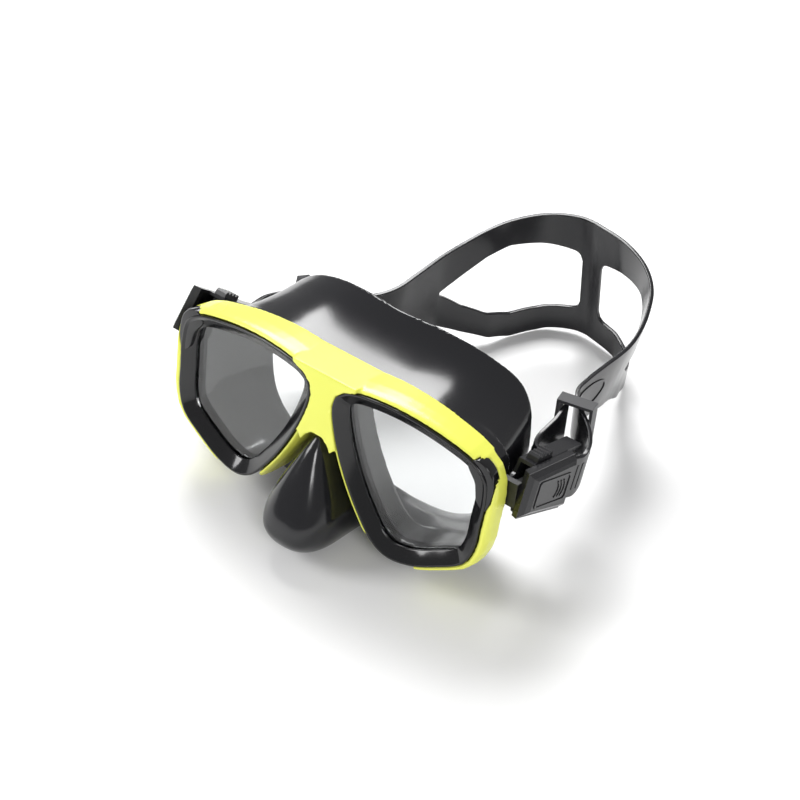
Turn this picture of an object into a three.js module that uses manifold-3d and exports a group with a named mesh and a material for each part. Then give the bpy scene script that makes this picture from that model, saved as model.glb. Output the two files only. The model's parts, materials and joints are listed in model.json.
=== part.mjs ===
// A twin-lens diving mask lying on a table, built as an assembly of separate solids.
//
// Units are millimetres, +Z up. The lenses face -Y, the strap lies towards +Y, and the wearer's left is +X.
// The rigid mask is modelled upright, then leaned back as it lies on its nose pocket and the strap's lower edge.
// The buckles swivel on two pins that share one line along X, and carry the strap with them.

import * as THREE from "three";
import { mergeVertices } from "three/addons/utils/BufferGeometryUtils.js";
import Module from "manifold-3d";

const wasm = await Module();
wasm.setup();

const { degToRad } = THREE.MathUtils;

// ---------- driving dimensions ----------

const LEAN = degToRad(10); // the mask leans back this far in the strap's frame
const SETTLE = degToRad(2.4); // the whole then tips forward until nose pocket and strap rest on the table
const SWEEP = degToRad(6); // each lens is swept back from the nose
const GAP = 0.3; // between pieces that touch
const RING_STEPS = 44; // points round a lens

// One lens rim in its own plane, [x, z] from the inner top corner, round by the outer side.
const RIM = [
  [5, 26], [6.5, 31.5], [12, 35.3], [22, 36.9], [38, 36.6], [56, 33.4], [69, 29], [74.8, 23.5],
  [76.3, 15], [75.6, 2], [74.8, -9], [71, -18], [60, -25], [48, -30.2], [38, -31], [30.5, -27.3],
  [22, -16.5], [13.5, -1.5], [7.6, 13.5],
];

// Depths in a lens's own plane, from the front.
const CREST = -6.2; // front edge of the bezel
const GLASS_FRONT = -1.8;
const GLASS_THICKNESS = 4;
const BEZEL_BACK = GLASS_FRONT + GLASS_THICKNESS;
const FLANGE_THICKNESS = 2.2; // skirt silicone clamped behind the glass
const RING_BACK = 20; // the rings are made this deep, then cut square with the mask
const CLAMP_BACK = 15.6; // rear of the inner frame, in the mask
const SHELL_BACK = 13.4; // rear of the outer frame, in the mask
const SHELL_TEMPLE_BACK = 12.4; // the same, outside the lenses

const BEZEL_WIDTH = 6; // from the crest in to the glass
const BEZEL_WALL = 2.7;
const CLAMP_WALL = 2.7;
const SKIRT_WALL = 2.2;

// The buckle's pin line in the upright mask, and the buckle's own sizes.
const PIN = { x: 81.6, y: 20.6, z: 15, radius: 1.5, length: 10 };
const PITCH = { left: -24, right: -46 }; // degrees each buckle hangs down at the rear
const BUCKLE = {
  front: -9.5, back: 24.5, tail: 34, inner: -6, split: 1.3, outer: 7.2, frontHalf: 9.6, flare: 0.07, wall: 1.3,
};
const ROLLER = { y: 15, radius: 2.3, bore: 1.5, pin: 1.2, half: 9.1 };
const PAWL = { y: 8.4, x: 3, hub: 1.6, bore: 1.1, pin: 0.8, half: 5.8 };
const BUTTON = { from: 2.5, to: 13, inner: -4.3, outer: 0.8, low: 10.2, high: 13.2, ribs: 4 };
const SPRING = { y: 6.6, x: -2.9, radius: 1.1, wire: 0.6, turns: 4, half: 3.1 };

// The strap, laid out flat: along it from the middle of the crossbar, and up from its lower edge.
const STRAP = { thickness: 1.8, crossbar: 5, opening: 72, narrowHalf: 8.8 };
const STRAP_EDGES = [ // [distance along, then down from the top: opening's top, opening's bottom, lower edge]
  [0, 20, 49, 62], [12, 17.5, 50, 62.4], [24, 15, 50.5, 63], [38, 12.8, 49.5, 62], [49, 14, 45, 58], [60, 17.5, 36, 51],
  [68, 20.5, 27, 45], [72, 21.5, 23.5, 41.5], [80, 16.5, 18.5, 35], [87, 14, 16, 30], [97, 11.5, 13.5, 25],
  [109, 10, 12, 22], [120, 8.9, 10.9, 19.8], [134, 7.8, 9.8, 17.6],
];

// ---------- small solid helpers ----------

function signedVolume(positions, index) {
  const [a, b, c] = [new THREE.Vector3(), new THREE.Vector3(), new THREE.Vector3()];
  let volume = 0;
  for (let i = 0; i < index.length; i += 3) {
    a.fromArray(positions, 3 * index[i]);
    b.fromArray(positions, 3 * index[i + 1]);
    c.fromArray(positions, 3 * index[i + 2]);
    volume += a.dot(b.cross(c));
  }
  return volume;
}

// A closed geometry with its faces pointing out.
function closedGeometry(positions, index) {
  const facing = signedVolume(positions, index) < 0 ? [...index].reverse() : index;
  const geometry = new THREE.BufferGeometry();
  geometry.setAttribute("position", new THREE.Float32BufferAttribute(positions, 3));
  geometry.setIndex([...facing]);
  return geometry;
}

function toSolid(geometry) {
  const bare = geometry.clone();
  bare.deleteAttribute("normal");
  bare.deleteAttribute("uv");
  const merged = mergeVertices(bare, 1e-4);
  const facing = closedGeometry([...merged.attributes.position.array], [...merged.index.array]);
  return new wasm.Manifold(new wasm.Mesh({
    numProp: 3,
    vertProperties: new Float32Array(facing.attributes.position.array),
    triVerts: new Uint32Array(facing.index.array),
  }));
}

function toGeometry(solid) {
  const mesh = solid.getMesh();
  const geometry = new THREE.BufferGeometry();
  geometry.setAttribute("position", new THREE.BufferAttribute(new Float32Array(mesh.vertProperties), 3));
  geometry.setIndex(new THREE.BufferAttribute(new Uint32Array(mesh.triVerts), 1));
  return geometry;
}

const join = (...pieces) => toGeometry(pieces.map(toSolid).reduce((a, b) => a.add(b)));
const cut = (piece, ...tools) => toGeometry(tools.map(toSolid).reduce((a, b) => a.subtract(b), toSolid(piece)));

// A solid through rows of points: each row is a closed loop, and the rows end in caps or close on themselves.
function loft(rows, closed = false) {
  const across = rows[0].length;
  const positions = rows.flat().flatMap((p) => [p.x, p.y, p.z]);
  const index = [];
  const spans = closed ? rows.length : rows.length - 1;
  for (let i = 0; i < spans; i += 1) {
    const next = (i + 1) % rows.length;
    for (let j = 0; j < across; j += 1) {
      const side = (j + 1) % across;
      index.push(i * across + j, i * across + side, next * across + side);
      index.push(i * across + j, next * across + side, next * across + j);
    }
  }
  if (!closed) {
    for (const [row, flip] of [[0, true], [rows.length - 1, false]]) {
      const centre = rows[row].reduce((sum, p) => sum.add(p), new THREE.Vector3()).divideScalar(across);
      const tip = positions.length / 3;
      positions.push(centre.x, centre.y, centre.z);
      for (let j = 0; j < across; j += 1) {
        const [a, b] = [row * across + j, row * across + ((j + 1) % across)];
        index.push(...(flip ? [b, a, tip] : [a, b, tip]));
      }
    }
  }
  return closedGeometry(positions, index);
}

const shapeOf = (points) => new THREE.Shape(points.map(([a, b]) => new THREE.Vector2(a, b)));

// A flat outline in [y, z], made solid from x0 to x1.
function plateX(points, x0, x1) {
  const geometry = new THREE.ExtrudeGeometry(shapeOf(points), { depth: x1 - x0, bevelEnabled: false });
  const turn = new THREE.Matrix4().makeBasis(
    new THREE.Vector3(0, 1, 0), new THREE.Vector3(0, 0, 1), new THREE.Vector3(1, 0, 0),
  );
  return geometry.applyMatrix4(turn).translate(x0, 0, 0);
}

// A flat outline in [x, z], made solid from y0 to y1.
function plateY(points, y0, y1) {
  const geometry = new THREE.ExtrudeGeometry(shapeOf(points), { depth: y1 - y0, bevelEnabled: false });
  const turn = new THREE.Matrix4().makeBasis(
    new THREE.Vector3(1, 0, 0), new THREE.Vector3(0, 0, 1), new THREE.Vector3(0, -1, 0),
  );
  return geometry.applyMatrix4(turn).translate(0, y1, 0);
}

function box(x0, x1, y0, y1, z0, z1) {
  return new THREE.BoxGeometry(x1 - x0, y1 - y0, z1 - z0).translate((x0 + x1) / 2, (y0 + y1) / 2, (z0 + z1) / 2);
}

// A cylinder or tube along z, or along x.
function rod(radius, half, steps = 16) {
  return new THREE.CylinderGeometry(radius, radius, 2 * half, steps).rotateX(Math.PI / 2);
}

const rodX = (radius, half, steps = 16) => rod(radius, half, steps).rotateY(Math.PI / 2);

function tube(outer, inner, half, steps = 24) {
  const profile = [[inner, -half], [outer, -half], [outer, half], [inner, half], [inner, -half]];
  return new THREE.LatheGeometry(profile.map(([r, z]) => new THREE.Vector2(r, z)), steps).rotateX(Math.PI / 2);
}

const arc = (cx, cy, radius, from, to, steps) => Array.from({ length: steps + 1 }, (_, i) => {
  const angle = degToRad(from + ((to - from) * i) / steps);
  return [cx + radius * Math.cos(angle), cy + radius * Math.sin(angle)];
});

// ---------- outlines in the lens plane ----------

function smoothLoop(points, count) {
  const curve = new THREE.CatmullRomCurve3(points.map(([x, z]) => new THREE.Vector3(x, 0, z)), true, "centripetal");
  return curve.getSpacedPoints(count).slice(0, count).map((p) => [p.x, p.z]);
}

// A loop moved outward by a distance, which may depend on the outward direction (nx, nz).
function offsetLoop(loop, distance) {
  return loop.map(([x, z], i) => {
    const before = loop[(i + loop.length - 1) % loop.length];
    const after = loop[(i + 1) % loop.length];
    const [tx, tz] = [after[0] - before[0], after[1] - before[1]];
    const length = Math.hypot(tx, tz);
    const [nx, nz] = [-tz / length, tx / length];
    const d = typeof distance === "function" ? distance(nx, nz) : distance;
    return [x + nx * d, z + nz * d];
  });
}

const rim = smoothLoop(RIM, RING_STEPS);

// A ring round the lens: its section is a closed loop of [outward distance, depth].
function ringRound(section) {
  const loops = section.map(([distance]) => offsetLoop(rim, distance));
  return loft(rim.map((_, i) => section.map(([, depth], j) => {
    const [x, z] = loops[j][i];
    return new THREE.Vector3(x, depth, z);
  })), true);
}

const lensPlate = (distance, y0, y1) => plateY(offsetLoop(rim, distance), y0, y1);

// From the +X lens plane to the mask, on either side.
function onSide(geometry, side) {
  const turned = geometry.clone().rotateZ(SWEEP);
  if (side > 0) return turned;
  const mirrored = turned.scale(-1, 1, 1);
  const bare = mergeVertices(mirrored.index ? mirrored : mergeVertices(mirrored), 1e-4);
  return closedGeometry([...bare.attributes.position.array], [...bare.index.array]);
}

function mirror(geometry) {
  const bare = geometry.clone();
  bare.deleteAttribute("normal");
  bare.deleteAttribute("uv");
  const merged = mergeVertices(bare.scale(-1, 1, 1), 1e-4);
  return closedGeometry([...merged.attributes.position.array], [...merged.index.array]);
}

const flipped = (geometry) => mirror(geometry).rotateY(Math.PI); // top to bottom
const bothSides = (geometry) => [onSide(geometry, 1), onSide(geometry, -1)];

// ---------- lenses, bezels and frames ----------

// Everything behind a depth in the mask.
const behind = (y) => box(-100, 100, y, y + 60, -100, 100);

// The black corner tab at a lens's outer top, seen through a notch in the outer frame.
const TAB = [[66, 27], [69.5, 30.6], [74, 29.2], [77.2, 25.6], [78.4, 20], [78, 14], [76, 9], [72, 12], [70, 20]];
const TAB_FRONT = CREST + 0.7;
const TAB_BACK = -0.2;

function lens() {
  return lensPlate(-BEZEL_WALL - GAP, GLASS_FRONT, BEZEL_BACK);
}

function bezel() {
  const lip = GLASS_FRONT - GAP;
  const ring = ringRound([
    [-BEZEL_WIDTH, lip], [-BEZEL_WIDTH, lip - 0.8], [-0.9, CREST], [-0.2, CREST + 0.1], [0, CREST + 0.7],
    [0, BEZEL_BACK], [-BEZEL_WALL, BEZEL_BACK], [-BEZEL_WALL, lip],
  ]);
  const tab = cut(plateY(TAB, TAB_FRONT, TAB_BACK), lensPlate(-1, CREST - 5, 5));
  return join(ring, tab);
}

// The outer frame stands this far out from the rim, most at the temples.
const shellOut = (base) => (nx) => base + 1.4 * Math.max(0, nx) ** 2;
const SHELL_LEG_END = [27, 50]; // the shell is open below the lens between these x

function outerFrame() {
  const ring = ringRound([
    [GAP, RING_BACK], [GAP, CREST + 0.9], [shellOut(0.9), CREST + 0.5], [shellOut(1.6), CREST + 1.4],
    [shellOut(2.2), CREST + 3.6], [shellOut(2.5), 2], [shellOut(2.3), 9], [shellOut(1.9), RING_BACK],
  ]);
  const bridge = plateY([
    [-16, 38.6], [16, 38.6], [13, 24], [10.5, 8], [7.2, 4.4], [5.2, 7.6], [2.6, 9.6],
    [-2.6, 9.6], [-5.2, 7.6], [-7.2, 4.4], [-10.5, 8], [-13, 24],
  ], CREST + 0.6, SHELL_BACK + 1);
  const openings = bothSides(lensPlate(GAP, CREST - 10, RING_BACK + 5));
  const [x0, x1] = SHELL_LEG_END;
  const gaps = [1, -1].map((side) => {
    const [a, b] = [side * x0, side * x1].sort((p, q) => p - q);
    return box(a, b, -30, 30, -60, -14);
  });
  const notches = bothSides(plateY(offsetLoop(TAB, GAP), CREST - 10, TAB_BACK + GAP));
  const temples = [box(70, 90, SHELL_TEMPLE_BACK, 60, -60, 60), box(-90, -70, SHELL_TEMPLE_BACK, 60, -60, 60)];
  return cut(join(...bothSides(ring), bridge), ...openings, ...gaps, ...notches, behind(SHELL_BACK), ...temples);
}

function mainFrame() {
  const front = BEZEL_BACK + GAP + FLANGE_THICKNESS + GAP;
  const ring = ringRound([[-CLAMP_WALL, front], [0, front], [0, RING_BACK], [-CLAMP_WALL, RING_BACK]]);
  const web = cut(
    plateY([[-9, 33.4], [9, 33.4], [7, 24], [9, 18], [-9, 18], [-7, 24]], SHELL_BACK + GAP, CLAMP_BACK),
    ...bothSides(lensPlate(-1, -30, 30)),
  );
  return cut(join(...bothSides(ring), web), behind(CLAMP_BACK));
}

// ---------- skirt ----------

const LIP = [ // the rear edge, [x, y, z] of the upright mask, from the top round by +X
  [0, 42, 47.5], [20, 45, 46.5], [40, 50.5, 41], [53, 54, 34], [60, 52.5, 27], [63.5, 50, 17],
  [64.2, 49, 4], [62.2, 47.5, -9], [55, 45, -22], [41, 44, -31.5], [21, 45, -35.8], [0, 46, -35.5],
];
const SKIRT_FRONT = [ // where the wall leaves the back of the inner frame, [x, z]
  [0, 33.5], [20, 33.6], [38, 33.3], [53, 30.4], [65.5, 26.2], [71, 20], [72.3, 12], [71.8, 0],
  [70.6, -9], [66.5, -16], [56, -22.5], [42, -28], [30, -30.6], [16, -34], [0, -35.5],
];
const NOSE_LEVELS = [ // [z, half width, front y, rear y] down the nose pocket
  [7.5, 3, -5, 17], [3, 5.4, -8.6, 17], [-3, 8, -12, 17], [-10, 11, -15.6, 17], [-18, 14, -19.2, 17],
  [-26, 15.8, -22, 17], [-32, 15.4, -22.4, 17], [-37, 13.4, -19.6, 17], [-40.4, 10.6, -15, 16], [-42.6, 6.4, -10, 9],
];
const NOSE_BACK = NOSE_LEVELS[0][3];
const CUP_FRONT = CLAMP_BACK + GAP;
const CUP_STEPS = 48;

function wholeLoop(half) {
  const other = half.slice(1, -1).reverse().map(([x, ...rest]) => [-x, ...rest]);
  return [...half, ...other];
}

function spacedLoop3(half) {
  const points = wholeLoop(half).map((p) => new THREE.Vector3(...p));
  return new THREE.CatmullRomCurve3(points, true, "centripetal").getSpacedPoints(CUP_STEPS).slice(0, CUP_STEPS);
}

// A loop of points drawn in towards its own middle by a fixed distance.
function drawnIn(loop, distance) {
  const centre = loop.reduce((sum, p) => sum.add(p), new THREE.Vector3()).divideScalar(loop.length);
  return loop.map((p) => {
    const inward = new THREE.Vector3(centre.x - p.x, 0, centre.z - p.z).normalize();
    return p.clone().addScaledVector(inward, distance);
  });
}

function skirt() {
  const lip = spacedLoop3(LIP);
  const front = spacedLoop3(SKIRT_FRONT.map(([x, z]) => [x, CUP_FRONT, z]));
  const between = (share, swell) => front.map((p, i) => {
    const q = p.clone().lerp(lip[i], share);
    q.z += swell * Math.sign(q.z) * Math.min(1, Math.abs(q.z) / 25);
    return q;
  });
  const cupRows = [front, between(0.3, -1.2), between(0.65, -1.5), between(0.9, -0.6), lip];
  const cup = loft(cupRows);
  const hollow = cupRows.map((row) => drawnIn(row, SKIRT_WALL));
  hollow[0] = hollow[0].map((p) => p.clone().setY(CUP_FRONT + SKIRT_WALL));
  hollow[4] = hollow[4].map((p) => p.clone().setY(p.y + 6));
  const nosePocket = (inset) => loft(NOSE_LEVELS.map(([z, half, y, back]) => {
    const [w, f, depth] = [half - inset, y + inset, back === NOSE_BACK ? back + inset * 2 : back - inset];
    const cosines = arc(0, 0, 1, 180, 360, 12);
    const rounded = cosines.map(([c, s]) => new THREE.Vector3(
      w * Math.sign(c) * Math.abs(c) ** 0.75, f + (depth - f) * 0.55 * (1 - Math.abs(s) ** 0.8), z + inset * 0.9,
    ));
    return [...rounded, new THREE.Vector3(w, depth, z + inset * 0.9), new THREE.Vector3(-w, depth, z + inset * 0.9)];
  }));
  const flangeFront = BEZEL_BACK + GAP;
  const flanges = bothSides(lensPlate(-GAP, flangeFront, flangeFront + FLANGE_THICKNESS));
  const tunnels = bothSides(lensPlate(-CLAMP_WALL - GAP, flangeFront + 1, RING_BACK))
    .map((tunnel) => cut(tunnel, behind(CUP_FRONT + 1)));
  const sights = bothSides(lensPlate(-CLAMP_WALL - GAP - SKIRT_WALL, -30, RING_BACK + 5));
  const outer = [cup, nosePocket(0), ...flanges, ...tunnels].map(toSolid).reduce((a, b) => a.add(b));
  const inner = [loft(hollow), nosePocket(SKIRT_WALL), ...sights].map(toSolid).reduce((a, b) => a.add(b));
  return toGeometry(outer.subtract(inner));
}

// ---------- buckle lugs and pins ----------

const LUG = { half: 1.5, radius: 4.2, bore: 1.85, inner: 75.7, front: SHELL_TEMPLE_BACK + GAP, back: 15.5, height: 5.5 };

function lug() {
  const root = LUG.front - PIN.y;
  const tongue = plateX(
    [[root, -LUG.height], ...arc(0, 0, LUG.radius, -90, 90, 10), [root, LUG.height]], PIN.x - LUG.half, PIN.x + LUG.half,
  ).translate(0, PIN.y, PIN.z);
  const foot = box(
    LUG.inner, PIN.x + LUG.half, LUG.front, LUG.back, PIN.z - LUG.height, PIN.z + LUG.height,
  );
  const bore = rodX(LUG.bore, 8, 20).translate(PIN.x, PIN.y, PIN.z);
  return cut(join(tongue, foot), bore);
}

const swivelPin = () => rodX(PIN.radius, PIN.length / 2, 16).translate(PIN.x - 0.4, PIN.y, PIN.z);

// ---------- buckle, in its own frame: origin on the pin, +y to the rear, +z up, +x outward ----------

const halfHeight = (y) => BUCKLE.frontHalf + BUCKLE.flare * (y - BUCKLE.front);

// The buckle's side outline between two distances behind the pin, drawn in by an inset.
function flank(from, to, inset) {
  const [a, b] = [halfHeight(from) - inset, halfHeight(to) - inset];
  return [[from, -a], [to, -b], [to, b], [from, a]];
}

function buckleBase() {
  const nose = arc(0, 0, 4.6, 110, 250, 10);
  const [shoulder, tail] = [0, BUCKLE.tail];
  const outline = [
    ...nose, [shoulder, -halfHeight(shoulder)], [tail, -halfHeight(tail)], [tail, halfHeight(tail)],
    [shoulder, halfHeight(shoulder)],
  ];
  const body = plateX(outline, BUCKLE.inner, BUCKLE.split);
  const floor = BUCKLE.inner + 1.4;
  const channel = plateX(flank(-12, tail + 5, BUCKLE.wall), floor, BUCKLE.split + 5);
  const exit = box(BUCKLE.inner - 5, floor + 2, 12, 27, -9.2, 9.2);
  const windows = [1, -1].map((side) => {
    const [low, high] = [side * 8.2, side * 20].sort((p, q) => p - q);
    return box(BUTTON.inner - GAP, BUTTON.outer + GAP, BUTTON.from - GAP, BUTTON.to + GAP, low, high);
  });
  const bore = rodX(LUG.bore, 12, 20);
  return cut(body, channel, exit, ...windows, bore);
}

function buckleCover() {
  const [x0, x1, x2] = [BUCKLE.split + GAP, 4.6, BUCKLE.outer];
  const section = (x, inset, front, back) => flank(front, back, inset).map(([y, z]) => new THREE.Vector3(x, y, z));
  const block = loft([
    section(x0, 0, BUCKLE.front + 2.6, BUCKLE.back), section(x1, 0, BUCKLE.front + 1, BUCKLE.back),
    section(x1 + 0.01, 0.5, BUCKLE.front + 1.2, BUCKLE.back), section(x2 - 0.9, 2.2, BUCKLE.front + 3.4, BUCKLE.back - 0.4),
    section(x2, 3.4, BUCKLE.front + 6, BUCKLE.back - 1.6),
  ]);
  const hollow = plateX(flank(BUCKLE.front + 5.5, BUCKLE.back + 5, 1.4), x0 - 1, x1 + 0.3);
  const roof = plateX(flank(BUCKLE.front + 7, BUCKLE.back + 5, 3.2), x0 - 1, BUCKLE.outer - 1.5);
  return cut(block, hollow, roof);
}

function releaseButton() {
  const { from, to, inner, outer, low, high, ribs } = BUTTON;
  const pitch = (to - from) / ribs;
  const top = Array.from({ length: ribs }, (_, i) => [
    [from + i * pitch + 0.2, high - 1 + i * 0.15], [from + (i + 0.35) * pitch, high + i * 0.15],
    [from + (i + 0.75) * pitch, high + i * 0.15], [from + (i + 1) * pitch - 0.2, high - 1 + i * 0.15],
  ]).flat();
  const pad = plateX([[to, low], ...top.reverse(), [from, low]].reverse(), inner, outer);
  const stem = box(inner, SPRING.x + 1.2, SPRING.y - 1.4, SPRING.y + 1.4, SPRING.half + GAP, low + 0.2);
  return join(pad, stem);
}

function buttonSpring() {
  const steps = SPRING.turns * 8;
  const travel = SPRING.half - SPRING.wire / 2;
  const points = Array.from({ length: steps + 1 }, (_, i) => {
    const angle = (2 * Math.PI * SPRING.turns * i) / steps;
    const z = -travel + (2 * travel * i) / steps;
    return new THREE.Vector3(SPRING.radius * Math.cos(angle), SPRING.radius * Math.sin(angle), z);
  });
  const section = shapeOf(arc(0, 0, SPRING.wire / 2, 0, 288, 4));
  return new THREE.ExtrudeGeometry(section, {
    steps, bevelEnabled: false, extrudePath: new THREE.CatmullRomCurve3(points),
  }).translate(SPRING.x, SPRING.y, 0);
}

function strapPawl() {
  const { x, y, hub, bore, half } = PAWL;
  const outline = [
    ...arc(x, y, hub, -100, 100, 8), [1.4, 9.9], [0, 10.2], [-0.9, 9.8], [-0.6, 8.2], [1.2, 7.2],
  ];
  const arm = new THREE.ExtrudeGeometry(shapeOf(outline), { depth: 2 * half, bevelEnabled: false }).translate(0, 0, -half);
  return cut(arm, rod(bore, half + 2, 16).translate(x, y, 0));
}

const pawlPin = () => rod(PAWL.pin, halfHeight(PAWL.y) - BUCKLE.wall - GAP, 12).translate(PAWL.x, PAWL.y, 0);
const strapRoller = () => tube(ROLLER.radius, ROLLER.bore, ROLLER.half).translate(0, ROLLER.y, 0);
const rollerPin = () => rod(ROLLER.pin, halfHeight(ROLLER.y) - BUCKLE.wall - GAP, 16).translate(0, ROLLER.y, 0);

// ---------- strap ----------

// Each strap line is the top edge: [x, y, z, degrees tipped about X, degrees leaned outward], for the +X side.
// It runs from the middle of the crossbar through the keeper, round the roller and back to the keeper.
const pinLine = new THREE.Vector3(0, PIN.y, PIN.z).applyAxisAngle(new THREE.Vector3(1, 0, 0), -LEAN);
const WRAP = ROLLER.radius + 0.4 + STRAP.thickness / 2;

function roundRoller(degrees) {
  const [c, s] = [Math.cos(degToRad(degrees)), Math.sin(degToRad(degrees))];
  const path = [
    [WRAP, 34], [WRAP, 28], [WRAP, 21], ...arc(0, ROLLER.y, WRAP, 0, -180, 6), [-5.4, 17.9], [-8.8, 20.4],
  ];
  const top = STRAP.narrowHalf;
  return path.map(([x, y]) => [PIN.x + x, pinLine.y + y * c - top * s, pinLine.z + y * s + top * c, degrees, 0]);
}

const LEFT_LINE = [
  [10, 171.5, 13.6, 0, 0], [26.9, 168.7, 13.6, 0, 1], [42.3, 161.3, 13.4, 0, 5], [52.5, 151.7, 12, 0, 11],
  [58.5, 139.7, 9, 0, 13], [60.9, 130.9, 7, 0, 15], [62, 122.9, 6, 0, 15], [62, 115.5, 6, 0, 12],
  [61.6, 106, 6.5, 0, 7], [61.6, 94.3, 7.5, 0, 4], [62.6, 85.6, 8.4, -4, 0], [66.4, 79.8, 8.9, -6, 0],
  [71, 75.8, 8.8, -9, 0], [76, 72.4, 8, -13, 0], [80.6, 68.4, 7, -18, 0], [84, 63.4, 6, -22, 0],
  ...roundRoller(PITCH.left),
  [69.4, 47.4, 10.2, -22, 0], [67.3, 52, 9.6, -19, 0], [66.6, 58, 9.2, -15, 0], [66.2, 65, 9, -11, 0],
  [65.3, 70.6, 9, -9, 0], [64.4, 75.6, 8.8, -8, 0],
];
const RIGHT_LINE = [
  [-10, 171.5, 13.6, 0, 0], [-3.3, 171, 13.6, 0, 0], [8.3, 164.7, 13.6, 0, 0], [17.9, 152.8, 13.2, 0, 2],
  [23.4, 142, 12, 0, 2], [28.4, 130.6, 9, 0, -3], [32.3, 121, 6, 0, -7], [35.5, 107, 3, 0, -6],
  [37.6, 96.5, 1.6, 0, -4], [42.6, 88.4, 0.4, -2, -2], [51, 84.4, -1.6, -6, 0], [59.6, 82, -3.2, -11, 0],
  [66.6, 79.4, -4.4, -17, 0], [72.4, 76.2, -5, -24, 0], [78.4, 72, -5.8, -31, 0], [83.4, 65.4, -6.6, -38, 0],
  ...roundRoller(PITCH.right),
  [69.4, 48.4, 1.2, -42, 0], [67.4, 53.4, -0.8, -37, 0], [66.9, 59.4, -2.6, -31, 0], [66.4, 66, -4, -25, 0],
  [65.3, 70.6, -4.8, -21, 0], [64.2, 75, -5.2, -18, 0],
];

// The strap's edges below its top at a distance from the crossbar.
function edgesAt(s) {
  const next = STRAP_EDGES.findIndex(([at]) => at > s);
  if (next < 0) return [0, ...STRAP_EDGES.at(-1).slice(1)];
  const [a, b] = [STRAP_EDGES[next - 1], STRAP_EDGES[next]];
  const share = (s - a[0]) / (b[0] - a[0]);
  return [0, ...[1, 2, 3].map((k) => a[k] + (b[k] - a[k]) * share)];
}

function stationsAlong(line, steps) {
  const curve = new THREE.CatmullRomCurve3(line.map(([x, y, z]) => new THREE.Vector3(x, y, z)), false, "centripetal");
  curve.arcLengthDivisions = 2000;
  const length = curve.getLength();
  return Array.from({ length: steps + 1 }, (_, i) => {
    const u = i / steps;
    const t = curve.getUtoTmapping(u) * (line.length - 1);
    const before = Math.min(line.length - 2, Math.floor(t));
    const angle = (k) => degToRad(line[before][k] + (line[before + 1][k] - line[before][k]) * (t - before));
    const along = curve.getTangentAt(u);
    const outward = new THREE.Vector3().crossVectors(along, new THREE.Vector3(0, 0, 1)).normalize().negate();
    const up = new THREE.Vector3(0, -Math.sin(angle(3)), Math.cos(angle(3)));
    up.addScaledVector(outward, Math.tan(angle(4))).normalize();
    return { s: u * length, point: curve.getPointAt(u), along, up };
  });
}

// One sheet of cells over a grid of points, with thickness; missing cells leave openings.
function sheet(stations, edges, present, thickness) {
  const rows = edges[0].length;
  const positions = [];
  const index = [];
  const place = (i, j, side) => {
    const { point, along, up } = stations[i];
    const out = new THREE.Vector3().crossVectors(along, up).normalize();
    return point.clone().addScaledVector(up, -edges[i][j]).addScaledVector(out, (side * thickness) / 2);
  };
  stations.forEach((_, i) => {
    for (let j = 0; j < rows; j += 1) for (const side of [1, -1]) positions.push(...place(i, j, side).toArray());
  });
  const id = (i, j, side) => 2 * (i * rows + j) + (side > 0 ? 0 : 1);
  const quad = (a, b, c, d) => index.push(a, b, c, a, c, d);
  const has = (i, j) => i >= 0 && i < stations.length - 1 && j >= 0 && j < rows - 1 && present(i, j);
  for (let i = 0; i < stations.length - 1; i += 1) {
    for (let j = 0; j < rows - 1; j += 1) {
      if (!has(i, j)) continue;
      quad(id(i, j, 1), id(i + 1, j, 1), id(i + 1, j + 1, 1), id(i, j + 1, 1));
      quad(id(i, j, -1), id(i, j + 1, -1), id(i + 1, j + 1, -1), id(i + 1, j, -1));
      if (!has(i, j - 1)) quad(id(i, j, -1), id(i + 1, j, -1), id(i + 1, j, 1), id(i, j, 1));
      if (!has(i, j + 1)) quad(id(i, j + 1, 1), id(i + 1, j + 1, 1), id(i + 1, j + 1, -1), id(i, j + 1, -1));
      if (!has(i - 1, j)) quad(id(i, j, 1), id(i, j + 1, 1), id(i, j + 1, -1), id(i, j, -1));
      if (!has(i + 1, j)) quad(id(i + 1, j, -1), id(i + 1, j + 1, -1), id(i + 1, j + 1, 1), id(i + 1, j, 1));
    }
  }
  return closedGeometry(positions, index);
}

function headStrap() {
  const left = stationsAlong(LEFT_LINE, 76);
  const right = stationsAlong(RIGHT_LINE, 76).map((station) => {
    for (const key of ["point", "along", "up"]) station[key].x *= -1;
    station.along.negate();
    return station;
  });
  const stations = [...right.reverse(), ...left.slice(1)];
  const edges = stations.map(({ s }) => edgesAt(s));
  const reach = (i) => (stations[i].s + stations[i + 1].s) / 2;
  const open = (i) => reach(i) > STRAP.crossbar && reach(i) < STRAP.opening;
  return sheet(stations, edges, (i, j) => j !== 1 || !open(i), STRAP.thickness);
}

const KEEPER = { across: 15.4, along: 6.2, height: 25, wall: 1.3 };
const KEEPER_AT = { // [middle, degrees turned, degrees tipped]
  left: [[68.6, 74.6, -1], 14, -8],
  right: [[68.3, 74.6, -12.6], 16, -20],
};

function strapKeeper(middle, heading, tip) {
  const { across, along, height, wall } = KEEPER;
  const half = [across / 2, along / 2, height / 2];
  const block = box(-half[0], half[0], -half[1], half[1], -half[2], half[2]);
  const hole = box(wall - half[0], half[0] - wall, -along, along, wall - half[2], half[2] - wall);
  return cut(block, hole).rotateZ(degToRad(heading)).rotateX(degToRad(tip)).translate(...middle);
}

// ---------- materials ----------

const finish = (color, roughness, metalness = 0) => ({ color, roughness, metalness });
const YELLOW = finish(0xd8e81a, 0.25);
const BLACK_GLOSS = finish(0x0b0b0d, 0.2);
const BLACK_SATIN = finish(0x141416, 0.45);
const SILICONE = finish(0x111114, 0.3);
const GLASS = finish(0xdfe8ea, 0.05);
const STEEL = finish(0xb8bcc0, 0.3, 1);

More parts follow.
